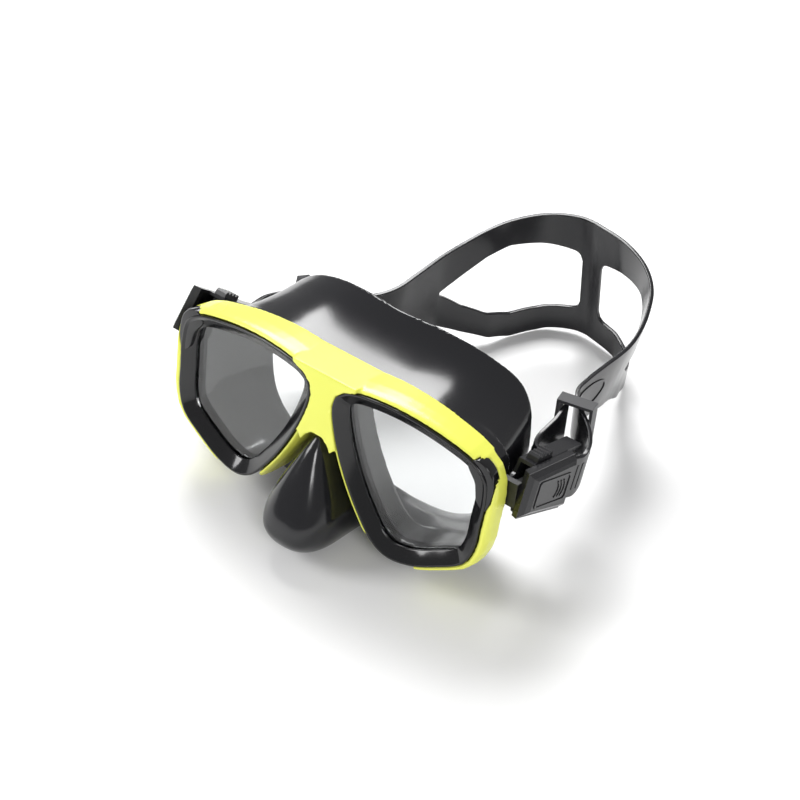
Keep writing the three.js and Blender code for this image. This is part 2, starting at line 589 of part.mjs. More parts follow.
function piece(name, geometry, look) {
  geometry.computeVertexNormals();
  const mesh = new THREE.Mesh(geometry, new THREE.MeshStandardMaterial(look));
  mesh.name = name;
  return mesh;
}

// ---------- assembly ----------

const mask = new THREE.Group();
mask.rotation.x = -LEAN;
mask.add(piece("skirt", skirt(), SILICONE));
mask.add(piece("main_frame", mainFrame(), BLACK_SATIN));
mask.add(piece("outer_frame", outerFrame(), YELLOW));

const strap = new THREE.Group();
strap.add(piece("head_strap", headStrap(), SILICONE));

for (const [name, side] of [["left", 1], ["right", -1]]) {
  const sided = (geometry) => (side > 0 ? geometry : mirror(geometry));
  mask.add(piece(`lens_${name}`, onSide(lens(), side), GLASS));
  mask.add(piece(`lens_bezel_${name}`, onSide(bezel(), side), BLACK_GLOSS));
  mask.add(piece(`buckle_lug_${name}`, sided(lug()), BLACK_SATIN));
  mask.add(piece(`swivel_pin_${name}`, sided(swivelPin()), STEEL));

  const buckle = new THREE.Group();
  buckle.position.set(side * PIN.x, pinLine.y, pinLine.z);
  buckle.rotation.x = degToRad(PITCH[name]);
  buckle.add(piece(`buckle_base_${name}`, sided(buckleBase()), BLACK_SATIN));
  buckle.add(piece(`buckle_cover_${name}`, sided(buckleCover()), BLACK_SATIN));
  buckle.add(piece(`release_button_upper_${name}`, sided(releaseButton()), BLACK_SATIN));
  buckle.add(piece(`release_button_lower_${name}`, flipped(sided(releaseButton())), BLACK_SATIN));
  buckle.add(piece(`button_spring_${name}`, sided(buttonSpring()), STEEL));
  buckle.add(piece(`strap_pawl_${name}`, sided(strapPawl()), BLACK_SATIN));
  buckle.add(piece(`pawl_pin_${name}`, sided(pawlPin()), STEEL));
  buckle.add(piece(`strap_roller_${name}`, sided(strapRoller()), BLACK_SATIN));
  buckle.add(piece(`roller_pin_${name}`, sided(rollerPin()), STEEL));
  strap.add(buckle);
  strap.add(piece(`strap_keeper_${name}`, sided(strapKeeper(...KEEPER_AT[name])), BLACK_SATIN));
}

const model = new THREE.Group();
model.add(mask, strap);
model.rotation.x = SETTLE;
model.updateMatrixWorld(true);

// The origin is the middle of the footprint, on the table.
const extent = new THREE.Box3().setFromObject(model, true);
model.position.set(
  -(extent.min.x + extent.max.x) / 2, -(extent.min.y + extent.max.y) / 2, -extent.min.z,
);

export default model;
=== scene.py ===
# The finished look of a twin-lens diving mask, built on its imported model. Blender works in metres;
# the tables below are in millimetres, in the frame of the upright mask or of the strap.

import json
import math

import bmesh
import bpy
import numpy as np
from mathutils import Matrix, Vector


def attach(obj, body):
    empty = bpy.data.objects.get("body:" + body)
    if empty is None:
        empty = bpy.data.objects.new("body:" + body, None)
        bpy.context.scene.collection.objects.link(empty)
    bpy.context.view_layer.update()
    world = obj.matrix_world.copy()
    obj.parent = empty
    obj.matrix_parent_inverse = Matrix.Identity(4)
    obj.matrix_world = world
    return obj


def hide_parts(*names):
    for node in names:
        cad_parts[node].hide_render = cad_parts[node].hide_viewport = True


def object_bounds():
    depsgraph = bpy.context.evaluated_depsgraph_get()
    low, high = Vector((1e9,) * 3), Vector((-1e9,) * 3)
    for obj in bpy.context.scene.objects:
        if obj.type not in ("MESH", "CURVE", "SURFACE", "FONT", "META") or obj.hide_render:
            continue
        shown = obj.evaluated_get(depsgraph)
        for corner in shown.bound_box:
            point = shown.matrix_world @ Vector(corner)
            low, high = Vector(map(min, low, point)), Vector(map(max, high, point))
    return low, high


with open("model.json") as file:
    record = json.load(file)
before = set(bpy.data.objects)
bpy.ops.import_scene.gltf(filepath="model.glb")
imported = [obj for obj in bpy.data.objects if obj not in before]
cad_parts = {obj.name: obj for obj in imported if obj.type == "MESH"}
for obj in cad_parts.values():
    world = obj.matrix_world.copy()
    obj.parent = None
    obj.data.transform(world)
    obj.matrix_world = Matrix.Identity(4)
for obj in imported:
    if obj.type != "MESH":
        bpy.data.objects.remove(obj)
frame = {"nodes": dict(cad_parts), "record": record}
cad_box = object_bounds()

MM = 0.001

# ---------- frames ----------

MASK_TILT = math.radians(-7.6)  # the mask leans back
STRAP_TILT = math.radians(2.4)
PIN = (0, 20.6, 15)  # a point of the swivel line in the upright mask
JOINTS = {joint["name"]: joint for joint in frame["record"]["behaviour"]["joints"]}
SWIVEL = np.array(JOINTS["strap_swivel"]["pos_m"])


def turn_x(points, angle):
    points = np.asarray(points, float)
    c, s = math.cos(angle), math.sin(angle)
    x, y, z = points[..., 0], points[..., 1], points[..., 2]
    return np.stack([x, y * c - z * s, y * s + z * c], -1)


ORIGIN = SWIVEL - turn_x(PIN, MASK_TILT) * MM


def from_mask(points):
    return turn_x(points, MASK_TILT) * MM + ORIGIN


def from_strap(points):
    return turn_x(points, STRAP_TILT) * MM + ORIGIN


# ---------- camera ----------

AZIMUTH, ELEVATION = math.radians(39), math.radians(42.53)  # in the strap's frame
DISTANCE = 1236  # from the strap frame's origin
AIM = (0.02489, 0.01588)  # the picture's middle, right of and above the origin, per unit of depth
LENS = 141.07
SENSOR = 36


def make_camera():
    level = math.cos(ELEVATION)
    from_origin = np.array([math.sin(AZIMUTH) * level, -math.cos(AZIMUTH) * level, math.sin(ELEVATION)])
    right = np.array([math.cos(AZIMUTH), math.sin(AZIMUTH), 0])
    up = np.cross(from_origin, right)
    back = from_origin - right * AIM[0] - up * AIM[1]
    back, right = (Vector(turn_x(v, STRAP_TILT)) for v in (back, right))
    back.normalize()
    right = (right - back * right.dot(back)).normalized()
    up = back.cross(right)
    data = bpy.data.cameras.new("camera")
    data.lens, data.sensor_width = LENS, SENSOR
    camera = bpy.data.objects.new("camera", data)
    bpy.context.collection.objects.link(camera)
    axes = Matrix((right, up, back)).transposed()
    camera.matrix_world = Matrix.Translation(Vector(from_strap(from_origin * DISTANCE))) @ axes.to_4x4()
    bpy.context.scene.camera = camera


make_camera()

# ---------- materials ----------


def material(name, color, roughness, metallic=0.0, spread=0.04, grain=900, bump=0.05, tint=None, **more):
    """A moulded surface: the roughness and colour wander, and a fine bump gives it a skin."""
    made = bpy.data.materials.new(name)
    made.use_nodes = True
    nodes, links = made.node_tree.nodes, made.node_tree.links
    shader = nodes["Principled BSDF"]
    shader.inputs["Metallic"].default_value = metallic
    for key, value in more.items():
        shader.inputs[key.replace("_", " ")].default_value = value
    coords = nodes.new("ShaderNodeTexCoord")

    def noise(scale, detail=3.0):
        node = nodes.new("ShaderNodeTexNoise")
        node.inputs["Scale"].default_value = scale
        node.inputs["Detail"].default_value = detail
        links.new(coords.outputs["Object"], node.inputs["Vector"])
        return node.outputs["Fac"]

    def spread_over(value, low, high):
        node = nodes.new("ShaderNodeMapRange")
        node.inputs["To Min"].default_value = low
        node.inputs["To Max"].default_value = high
        links.new(value, node.inputs["Value"])
        return node.outputs["Result"]

    links.new(spread_over(noise(45), roughness - spread, roughness + spread), shader.inputs["Roughness"])
    mix = nodes.new("ShaderNodeMix")
    mix.data_type = "RGBA"
    mix.inputs[6].default_value = (*color, 1)
    mix.inputs[7].default_value = (*(tint or [c * 0.88 for c in color]), 1)
    links.new(noise(22), mix.inputs["Factor"])
    links.new(mix.outputs[2], shader.inputs["Base Color"])
    if bump:
        node = nodes.new("ShaderNodeBump")
        node.inputs["Strength"].default_value = bump
        node.inputs["Distance"].default_value = 0.0002
        links.new(noise(grain), node.inputs["Height"])
        links.new(node.outputs["Normal"], shader.inputs["Normal"])
    return made


SILICONE = material("skirt_silicone", (0.010, 0.010, 0.012), 0.16, spread=0.03, grain=260, bump=0.03)
STRAP_SILICONE = material("strap_silicone", (0.011, 0.011, 0.013), 0.2, spread=0.04, grain=500, bump=0.06)
YELLOW = material(
    "yellow_shell", (0.80, 0.82, 0.125), 0.26, spread=0.04, grain=700, bump=0.03, tint=(0.76, 0.79, 0.11),
)
BEZEL = material("bezel_gloss", (0.006, 0.006, 0.007), 0.1, spread=0.03, grain=700, bump=0.02)
SATIN = material("satin_black", (0.012, 0.012, 0.013), 0.34, spread=0.05, grain=1400, bump=0.12)
BUCKLE = material("buckle_black", (0.013, 0.013, 0.015), 0.26, spread=0.05, grain=1100, bump=0.08)
BUTTON = material("button_black", (0.016, 0.016, 0.018), 0.38, spread=0.05, grain=1700, bump=0.15)
KEEPER = material("keeper_charcoal", (0.03, 0.03, 0.034), 0.4, spread=0.05, grain=1500, bump=0.15)
NYLON = material("nylon", (0.02, 0.02, 0.022), 0.36, spread=0.05, grain=1300, bump=0.1)
STEEL = material("pin_steel", (0.6, 0.61, 0.63), 0.26, metallic=1.0, spread=0.08, grain=2200, bump=0.05)
GLASS = material(
    "lens_glass", (0.97, 0.985, 0.985), 0.02, spread=0.015, bump=0, tint=(0.96, 0.98, 0.98),
    Transmission_Weight=1.0, IOR=1.45,
)

# ---------- curves and meshes ----------


def catmull(points, closed):
    """A centripetal spline as a function from its parameter to a point, and how far the parameter runs."""
    points = np.asarray(points, float)
    count = len(points)

    def at(t):
        i = int(math.floor(t))
        if not closed:
            i = min(i, count - 2)
        w = t - i
        if closed:
            p0, p1, p2, p3 = (points[(i + k) % count] for k in (-1, 0, 1, 2))
        else:
            p1, p2 = points[i], points[i + 1]
            p0 = points[i - 1] if i > 0 else 2 * p1 - p2
            p3 = points[i + 2] if i + 2 < count else 2 * p2 - p1
        d0, d1, d2 = (
            max(float(np.linalg.norm(b - a)), 1e-9) ** 0.5 for a, b in ((p0, p1), (p1, p2), (p2, p3))
        )
        t1 = ((p1 - p0) / d0 - (p2 - p0) / (d0 + d1) + (p2 - p1) / d1) * d1
        t2 = ((p2 - p1) / d1 - (p3 - p1) / (d1 + d2) + (p3 - p2) / d2) * d1
        return p1 + t1 * w + (3 * (p2 - p1) - 2 * t1 - t2) * w**2 + (2 * (p1 - p2) + t1 + t2) * w**3

    return at, (count if closed else count - 1)


def spaced(points, count, closed=True):
    """Evenly spaced points along the spline, the spline's own parameter at each, and its length."""
    at, span = catmull(points, closed)
    ts = np.linspace(0, span, 60 * span + 1)
    fine = np.array([at(t) for t in ts])
    lengths = np.concatenate([[0], np.cumsum(np.linalg.norm(np.diff(fine, axis=0), axis=1))])
    wanted = np.linspace(0, lengths[-1], count + 1 if closed else count)
    t = np.interp(wanted, lengths, ts)
    if closed:
        t = t[:-1]
    return np.array([at(v) for v in t]), t, lengths[-1]


def mesh_object(name, vertices, faces, look, body=None, smooth=True):
    data = bpy.data.meshes.new(name)
    data.from_pydata([tuple(v) for v in vertices], [], [tuple(f) for f in faces])
    made = bpy.data.objects.new(name, data)
    bpy.context.collection.objects.link(made)
    finish_mesh(data, smooth)
    if look:
        data.materials.append(look)
    if body:
        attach(made, body)
    return made


def finish_mesh(data, smooth=True):
    editable = bmesh.new()
    editable.from_mesh(data)
    bmesh.ops.remove_doubles(editable, verts=editable.verts, dist=1e-7)
    bmesh.ops.recalc_face_normals(editable, faces=editable.faces)
    editable.to_mesh(data)
    editable.free()
    data.polygons.foreach_set("use_smooth", [smooth] * len(data.polygons))


def grid_faces(rows, columns, wrap_rows=False, wrap_columns=True):
    faces = []
    for i in range(rows if wrap_rows else rows - 1):
        for j in range(columns if wrap_columns else columns - 1):
            a, b = i * columns + j, i * columns + (j + 1) % columns
            k = ((i + 1) % rows) * columns
            faces.append((a, b, k + (j + 1) % columns, k + j))
    return faces


def rounded(section, radius, steps=4):
    """A closed section with each corner cut to a small arc."""
    section = [np.array(p, float) for p in section]
    out = []
    for i, corner in enumerate(section):
        before, after = section[i - 1] - corner, section[(i + 1) % len(section)] - corner
        reach = min(radius, 0.45 * np.linalg.norm(before), 0.45 * np.linalg.norm(after))
        a = corner + before / np.linalg.norm(before) * reach
        b = corner + after / np.linalg.norm(after) * reach
        for k in range(steps + 1):
            w = k / steps
            out.append((1 - w) ** 2 * a + 2 * w * (1 - w) * corner + w**2 * b)
    return out


# ---------- the lens outline ----------

SWEEP = math.radians(6)  # each lens is swept back from the nose
GAP = 0.3
RIM = [
    (5, 26), (6.5, 31.5), (12, 35.3), (22, 36.9), (38, 36.6), (56, 33.4), (69, 29), (74.8, 23.5),
    (76.3, 15), (75.6, 2), (74.8, -9), (71, -18), (60, -25), (48, -30.2), (38, -31), (30.5, -27.3),
    (22, -16.5), (13.5, -1.5), (7.6, 13.5),
]
CREST = -6.2
GLASS_FRONT = -1.8
BEZEL_BACK = 2.2
RING_STEPS = 260
rim = spaced(RIM, RING_STEPS)[0]


def normals_of(loop, reach=3):
    along = np.roll(loop, -reach, 0) - np.roll(loop, reach, 0)
    across = np.stack([-along[:, 1], along[:, 0]], 1)
    return across / np.linalg.norm(across, axis=1)[:, None]


rim_out = normals_of(rim)


def on_side(points, side):
    """From the +X lens's own plane to the mask, on either side."""
    points = np.asarray(points, float)
    c, s = math.cos(SWEEP), math.sin(SWEEP)
    x, y = points[..., 0] * c - points[..., 1] * s, points[..., 0] * s + points[..., 1] * c
    return np.stack([side * x, y, points[..., 2]], -1)


def ring(section, side):
    """Vertices and faces of a ring round the lens; its section holds (outward, depth)."""
    rows = []
    for point, out in zip(rim, rim_out):
        for outward, depth in section:
            x, z = point + out * outward
            rows.append((x, depth, z))
    return on_side(rows, side), grid_faces(RING_STEPS, len(section), wrap_rows=True)


def plate(outline, front, rear, side=1):
    """A closed slab over an outline of (x, z)."""
    count = len(outline)
    vertices = [(x, front, z) for x, z in outline] + [(x, rear, z) for x, z in outline]
    faces = [tuple(range(count)), tuple(range(2 * count - 1, count - 1, -1))]
    faces += [(i, (i + 1) % count, count + (i + 1) % count, count + i) for i in range(count)]
    return np.array(vertices, float), faces


def merged(*solids):
    vertices, faces, base = [], [], 0
    for points, polygons in solids:
        vertices.append(points)
        faces += [tuple(base + i for i in polygon) for polygon in polygons]
        base += len(points)
    return np.concatenate(vertices), faces


def modify(thing, kind, **settings):
    modifier = thing.modifiers.new(kind.lower(), kind)
    for key, value in settings.items():
        setattr(modifier, key, value)
    return modifier


def bake(thing):
    """Makes the modified shape the object's own mesh."""
    bpy.context.view_layer.update()
    evaluated = thing.evaluated_get(bpy.context.evaluated_depsgraph_get())
    data = bpy.data.meshes.new_from_object(evaluated)
    thing.modifiers.clear()
    thing.data = data
    return thing


def fused(name, solids, look, voxel, passes):
    """Closed solids run together into one moulded skin."""
    points, faces = merged(*solids)
    thing = mesh_object(name, from_mask(points), faces, look)
    modify(thing, "REMESH", mode="VOXEL", voxel_size=voxel * MM, use_smooth_shade=True)
    modify(thing, "SMOOTH", factor=0.5, iterations=passes)
    bake(thing)
    thing.data.polygons.foreach_set("use_smooth", [True] * len(thing.data.polygons))
    return thing


# ---------- bezels and outer frame ----------

TAB = [  # the lobe at a lens's outer top corner
    (66, 27), (69.5, 30.6), (74, 29.2), (77.2, 25.6), (78.4, 20), (78, 14), (76, 9), (72, 12), (70, 20),
]


def make_bezel(side, name):
    lip = GLASS_FRONT - GAP
    section = rounded([
        (-6, lip), (-6, lip - 0.8), (-0.9, CREST), (-0.2, CREST + 0.1), (0, CREST + 0.7),
        (0, BEZEL_BACK), (-2.7, BEZEL_BACK), (-2.7, lip),
    ], 0.35)
    points, faces = ring(section, side)
    bezel = mesh_object(f"bezel_ring_{name}", from_mask(points), faces, BEZEL, "frame")
    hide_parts(f"lens_bezel_{name}")
    tab = spaced(TAB, 90)[0]
    grown = tab + normals_of(tab, 2) * -0.1
    points, faces = plate(grown, CREST + 0.7, -0.2)
    lobe = mesh_object(f"bezel_lobe_{name}", from_mask(on_side(points, side)), faces, BEZEL, smooth=False)
    modify(lobe, "BEVEL", width=0.6 * MM, segments=4, limit_method="ANGLE")
    bake(lobe)
    lobe.data.polygons.foreach_set("use_smooth", [True] * len(lobe.data.polygons))
    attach(lobe, "frame")


def make_outer_frame():
    shell = frame["nodes"]["outer_frame"]
    modify(shell, "REMESH", mode="VOXEL", voxel_size=0.45 * MM, use_smooth_shade=True)
    modify(shell, "SMOOTH", factor=0.5, iterations=6)


# ---------- skirt ----------

LIP = [
    (0, 42, 47.5), (20, 45, 46.5), (40, 50.5, 41), (53, 54, 34), (60, 52.5, 27), (63.5, 50, 17),
    (64.2, 49, 4), (62.2, 47.5, -9), (55, 45, -22), (41, 44, -31.5), (21, 45, -35.8), (0, 46, -35.5),
]
SKIRT_FRONT = [
    (0, 33.5), (20, 33.6), (38, 33.3), (53, 30.4), (65.5, 26.2), (71, 20), (72.3, 12), (71.8, 0),
    (70.6, -9), (66.5, -16), (56, -22.5), (42, -28), (30, -30.6), (16, -34), (0, -35.5),
]
NOSE_LEVELS = [  # height, half width, front and rear, down the nose pocket
    (7.5, 3, -5, 17), (3, 5.4, -8.6, 17), (-3, 8, -12, 17), (-10, 11, -15.6, 17), (-18, 14, -19.2, 17),
    (-26, 15.8, -22, 17), (-32, 15.4, -22.4, 17), (-37, 13.4, -19.6, 17), (-40.4, 10.6, -15, 16),
    (-42.6, 6.4, -10, 9),
]
CUP_FRONT = 15.9
WALL = 2.0
CUP_STEPS = 220
CUP_ROWS = 30


def whole_loop(half):
    return list(half) + [(-p[0], *p[1:]) for p in reversed(half[1:-1])]


def drawn_in(loop, distance):
    centre = loop.mean(0)
    inward = (centre - loop) * (1, 0, 1)
    return loop + inward / np.linalg.norm(inward, axis=1)[:, None] * distance


def cup_shell():
    lip = spaced(whole_loop(LIP), CUP_STEPS)[0]
    front = spaced(whole_loop([(x, CUP_FRONT, z) for x, z in SKIRT_FRONT]), CUP_STEPS)[0]
    rise = np.clip(np.abs(front[:, 2]) / 25, 0, 1) * np.sign(front[:, 2])

    def between(share, swell):
        row = front + (lip - front) * share
        row[:, 2] += swell * rise
        return row

    keys = [front, between(0.3, -1.2), between(0.65, -1.5), between(0.9, -0.6), lip]
    rows = []
    for k in range(CUP_ROWS + 1):
        t = 4 * k / CUP_ROWS
        i = min(3, int(t))
        w = t - i
        p0, p1, p2, p3 = keys[max(i - 1, 0)], keys[i], keys[i + 1], keys[min(i + 2, 4)]
        rows.append(0.5 * (
            2 * p1 + (p2 - p0) * w + (2 * p0 - 5 * p1 + 4 * p2 - p3) * w**2
            + (3 * p1 - p0 - 3 * p2 + p3) * w**3
        ))
    inner = [drawn_in(row, WALL * (1 - 0.25 * k / CUP_ROWS)) for k, row in enumerate(rows)]
    bead = (rows[-1] + inner[-1]) / 2 + (0, 0.8, 0)
    everything = rows + [bead] + inner[::-1]
    return np.concatenate(everything), grid_faces(len(everything), CUP_STEPS, wrap_rows=True)


def nose_shell():
    at, span = catmull(NOSE_LEVELS, False)
    levels = [at(t) for t in np.linspace(0, span, 46)]
    tip = levels[-1] - (1.6, 3.2, -2.4, 3)
    levels.append(tip)

    def wall(inset):
        rows = []
        for z, half, y, back in levels:
            rise = inset * 0.9
            w, f, depth = half - inset, y + inset, back + (inset if back > 15 else -inset)
            row = [(-w, depth, z + rise)]
            for k in range(41):
                a = math.pi + math.pi * k / 40
                c, s = math.cos(a), math.sin(a)
                across = w * math.copysign(abs(c) ** 0.75, c)
                row.append((across, f + (depth - f) * 0.55 * (1 - abs(s) ** 0.8), z + rise))
            row.append((w, depth, z + rise))
            rows.append(np.array(row))
        return rows

    outer, inner = wall(0), wall(WALL)
    columns = len(outer[0])
    vertices, faces = [], []
    for rows in (outer, inner):
        base = len(vertices)
        for row in rows:
            vertices.extend(row)
        faces += [
            tuple(base + i for i in face) for face in grid_faces(len(rows), columns, wrap_columns=False)
        ]
        faces.append(tuple(base + (len(rows) - 1) * columns + j for j in range(columns)))
    step = len(outer) * columns
    for i in range(len(outer) - 1):
        for j in (0, columns - 1):
            a, b = i * columns + j, (i + 1) * columns + j
            faces.append((a, b, step + b, step + a))
    for j in range(columns - 1):
        faces.append((j, j + 1, step + j + 1, step + j))
    last = (len(outer) - 1) * columns
    faces.append((last, last + columns - 1, step + last + columns - 1, step + last))
    return np.array(vertices), faces


NOSE_HOLE = [
    (-2, 6), (2, 6), (5, 0), (12, -18), (13.4, -28), (11, -33), (-11, -33), (-13.4, -28), (-12, -18), (-5, 0),
]


def make_skirt():
    tunnel = [(-GAP, 2.5), (-GAP, 4.7), (-3, 4.7), (-3, 17.5), (-5.4, 17.5), (-5.4, 2.5)]
    solids = [cup_shell(), nose_shell()] + [ring(tunnel, side) for side in (1, -1)]
    front = spaced(whole_loop([(x, CUP_FRONT, z) for x, z in SKIRT_FRONT]), CUP_STEPS)[0]
    wall = plate(front[:, [0, 2]], CUP_FRONT, CUP_FRONT + WALL)
    cutters = []
    for side in (1, -1):
        points, faces = plate(rim - rim_out * 5, 5, 40)
        cutters.append((on_side(points, side), faces))
    cutters.append(plate(NOSE_HOLE, CUP_FRONT - 2, CUP_FRONT + 6))
    panel = mesh_object("skirt_panel", wall[0], wall[1], None)
    for index, (points, faces) in enumerate(cutters):
        cutter = mesh_object(f"cutter_{index}", points, faces, None)
        modify(panel, "BOOLEAN", object=cutter, operation="DIFFERENCE", solver="EXACT")
        bake(panel)
        bpy.data.objects.remove(cutter)
    solids.append((
        np.array([v.co for v in panel.data.vertices]), [tuple(p.vertices) for p in panel.data.polygons],
    ))
    bpy.data.objects.remove(panel)
    skirt = fused("face_skirt", solids, SILICONE, 0.6, 8)
    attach(skirt, "frame")
    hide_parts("skirt")


for side, name in ((1, "left"), (-1, "right")):
    make_bezel(side, name)
make_outer_frame()
make_skirt()

# ---------- head strap ----------

PIN_X = 81.6
PITCH = {"left": -24, "right": -46}  # degrees each buckle hangs down
ROLLER_Y, STRAP_THICKNESS, NARROW_HALF = 15, 1.8, 8.8
WRAP = 2.3 + 0.4 + STRAP_THICKNESS / 2
PIN_LINE = turn_x(PIN, MASK_TILT - STRAP_TILT)
STRAP_EDGES = np.array([  # along the strap; opening's top and bottom, and the lower edge, down from the top
    (0, 20, 49, 62), (12, 17.5, 50, 62.4), (24, 15, 50.5, 63), (38, 12.8, 49.5, 62), (49, 14, 45, 58),
    (60, 17.5, 36, 51), (68, 20.5, 27, 45), (72, 21.5, 23.5, 41.5), (80, 16.5, 18.5, 35), (87, 14, 16, 30),
    (97, 11.5, 13.5, 25), (109, 10, 12, 22), (120, 8.9, 10.9, 19.8), (134, 7.8, 9.8, 17.6),
])


def round_roller(degrees):
    c, s = math.cos(math.radians(degrees)), math.sin(math.radians(degrees))
    arc = [(WRAP * math.cos(a), ROLLER_Y + WRAP * math.sin(a)) for a in np.linspace(0, -math.pi, 7)]
    path = [(WRAP, 34), (WRAP, 28), (WRAP, 21), *arc, (-5.4, 17.9), (-8.8, 20.4)]
    y0, z0 = PIN_LINE[1], PIN_LINE[2]
    return [
        (PIN_X + x, y0 + y * c - NARROW_HALF * s, z0 + y * s + NARROW_HALF * c, degrees, 0) for x, y in path
    ]


# The top edge: x, y, z, degrees tipped about X, degrees leaned outward.
LEFT_LINE = [
    (10, 171.5, 13.6, 0, 0), (26.9, 168.7, 13.6, 0, 1), (42.3, 161.3, 13.4, 0, 5), (52.5, 151.7, 12, 0, 11),
    (58.5, 139.7, 9, 0, 13), (60.9, 130.9, 7, 0, 15), (62, 122.9, 6, 0, 15), (62, 115.5, 6, 0, 12),
    (61.6, 106, 6.5, 0, 7), (61.6, 94.3, 7.5, 0, 4), (62.6, 85.6, 8.4, -4, 0), (66.4, 79.8, 8.9, -6, 0),
    (71, 75.8, 8.8, -9, 0), (76, 72.4, 8, -13, 0), (80.6, 68.4, 7, -18, 0), (84, 63.4, 6, -22, 0),
    *round_roller(PITCH["left"]),
    (69.4, 47.4, 10.2, -22, 0), (67.3, 52, 9.6, -19, 0), (66.6, 58, 9.2, -15, 0), (66.2, 65, 9, -11, 0),
    (65.3, 70.6, 9, -9, 0), (64.4, 75.6, 8.8, -8, 0),
]
RIGHT_LINE = [
    (-10, 171.5, 13.6, 0, 0), (-3.3, 171, 13.6, 0, 0), (8.3, 164.7, 13.6, 0, 0), (17.9, 152.8, 13.2, 0, 2),
    (23.4, 142, 12, 0, 2), (28.4, 130.6, 9, 0, -3), (32.3, 121, 6, 0, -7), (35.5, 107, 3, 0, -6),
    (37.6, 96.5, 1.6, 0, -4), (42.6, 88.4, 0.4, -2, -2), (51, 84.4, -1.6, -6, 0), (59.6, 82, -3.2, -11, 0),
    (66.6, 79.4, -4.4, -17, 0), (72.4, 76.2, -5, -24, 0), (78.4, 72, -5.8, -31, 0), (83.4, 65.4, -6.6, -38, 0),
    *round_roller(PITCH["right"]),
    (69.4, 48.4, 1.2, -42, 0), (67.4, 53.4, -0.8, -37, 0), (66.9, 59.4, -2.6, -31, 0), (66.4, 66, -4, -25, 0),
    (65.3, 70.6, -4.8, -21, 0), (64.2, 75, -5.2, -18, 0),
]


def stations(line, side):
    line = np.array(line, float)
    points, t, length = spaced(line[:, :3], 420, closed=False)
    along = np.gradient(points, axis=0)
    along /= np.linalg.norm(along, axis=1)[:, None]
    knots = np.arange(len(line))
    tip, lean = (np.radians(np.interp(t, knots, line[:, k])) for k in (3, 4))
    outward = -np.cross(along, (0, 0, 1))
    outward /= np.linalg.norm(outward, axis=1)[:, None]
    up = np.stack([tip * 0, -np.sin(tip), np.cos(tip)], 1) + outward * np.tan(lean)[:, None]
    up /= np.linalg.norm(up, axis=1)[:, None]
    reach = np.linspace(0, length, len(points))
    if side < 0:
        flip = np.array((-1, 1, 1))
        return -reach[::-1], (points * flip)[::-1], -(along * flip)[::-1], (up * flip)[::-1]
    return reach, points, along, up


halves = [stations(RIGHT_LINE, -1), stations(LEFT_LINE, 1)]
REACH, POINTS, ALONG, UP = (
    np.concatenate([halves[0][k][:-1], halves[1][k]]) for k in range(4)
)
OUT = np.cross(ALONG, UP)
OUT /= np.linalg.norm(OUT, axis=1)[:, None]


def on_strap(flat):
    """(along, -down, through) of the strap laid flat, to the row's frame."""
    def at(values):
        return np.stack([np.interp(flat[:, 0], REACH, values[:, k]) for k in range(3)], 1)
    return from_strap(at(POINTS) + at(UP) * flat[:, 1:2] + at(OUT) * flat[:, 2:3])


def flat_mesh(name, outlines, half, edge):
    """A flat piece with holes and rounded edges, from outlines of (along, down)."""
    curve = bpy.data.curves.new(name, "CURVE")
    curve.dimensions, curve.fill_mode = "2D", "BOTH"
    curve.extrude, curve.bevel_depth, curve.bevel_resolution, curve.offset = half - edge, edge, 2, -edge
    for outline in outlines:
        spline = curve.splines.new("POLY")
        spline.points.add(len(outline) - 1)
        for point, (along, down) in zip(spline.points, outline):
            point.co = (along, -down, 0, 1)
        spline.use_cyclic_u = True
    flat = bpy.data.objects.new(name + "_flat", curve)
    bpy.context.collection.objects.link(flat)
    bpy.context.view_layer.update()
    data = bpy.data.meshes.new_from_object(flat.evaluated_get(bpy.context.evaluated_depsgraph_get()))
    bpy.data.objects.remove(flat)
    return data


def strap_piece(name, outlines, half, edge, through=0.0):
    """A flat piece wrapped onto the strap's path."""
    data = flat_mesh(name, outlines, half, edge)
    editable = bmesh.new()
    editable.from_mesh(data)
    bmesh.ops.remove_doubles(editable, verts=editable.verts, dist=1e-4)
    low, high = (pick(v.co.x for v in editable.verts) for pick in (min, max))
    for cut in np.arange(math.ceil(low / 1.6) * 1.6, high, 1.6):
        bmesh.ops.bisect_plane(
            editable, geom=editable.verts[:] + editable.edges[:] + editable.faces[:], dist=1e-5,
            plane_co=(cut, 0, 0), plane_no=(1, 0, 0),
        )
    bmesh.ops.triangulate(editable, faces=[f for f in editable.faces if len(f.verts) > 4])
    editable.to_mesh(data)
    editable.free()
    flat_points = np.array([v.co for v in data.vertices]) + (0, 0, through)
    return wrapped(name, data, on_strap(flat_points), STRAP_SILICONE)


def wrapped(name, data, points, look):
    data.vertices.foreach_set("co", points.ravel())
    made = bpy.data.objects.new(name, data)
    bpy.context.collection.objects.link(made)
    finish_mesh(data)
    data.materials.clear()
    data.materials.append(look)
    modify(made, "WEIGHTED_NORMAL", keep_sharp=False)
    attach(made, "strap")
    return made


def buckle_relief(name, outlines, height):
    """A raised line on the outer face of a buckle's cover, from outlines of (behind the pin, down)."""
    side = 1 if name.endswith("left") else -1
    data = flat_mesh(name, outlines, height, 0.15)
    flat = np.array([v.co for v in data.vertices])
    angle = math.radians(PITCH["left" if side > 0 else "right"]) + STRAP_TILT
    c, s = math.cos(angle), math.sin(angle)
    across = side * (PIN_X + COVER_FACE + flat[:, 2])
    points = np.stack([across, flat[:, 0] * c - flat[:, 1] * s, flat[:, 0] * s + flat[:, 1] * c], 1) * MM + SWIVEL
    wrapped(name, data, points, BUCKLE)


def edge_at(reach, column):
    return float(np.interp(abs(reach), STRAP_EDGES[:, 0], STRAP_EDGES[:, column]))


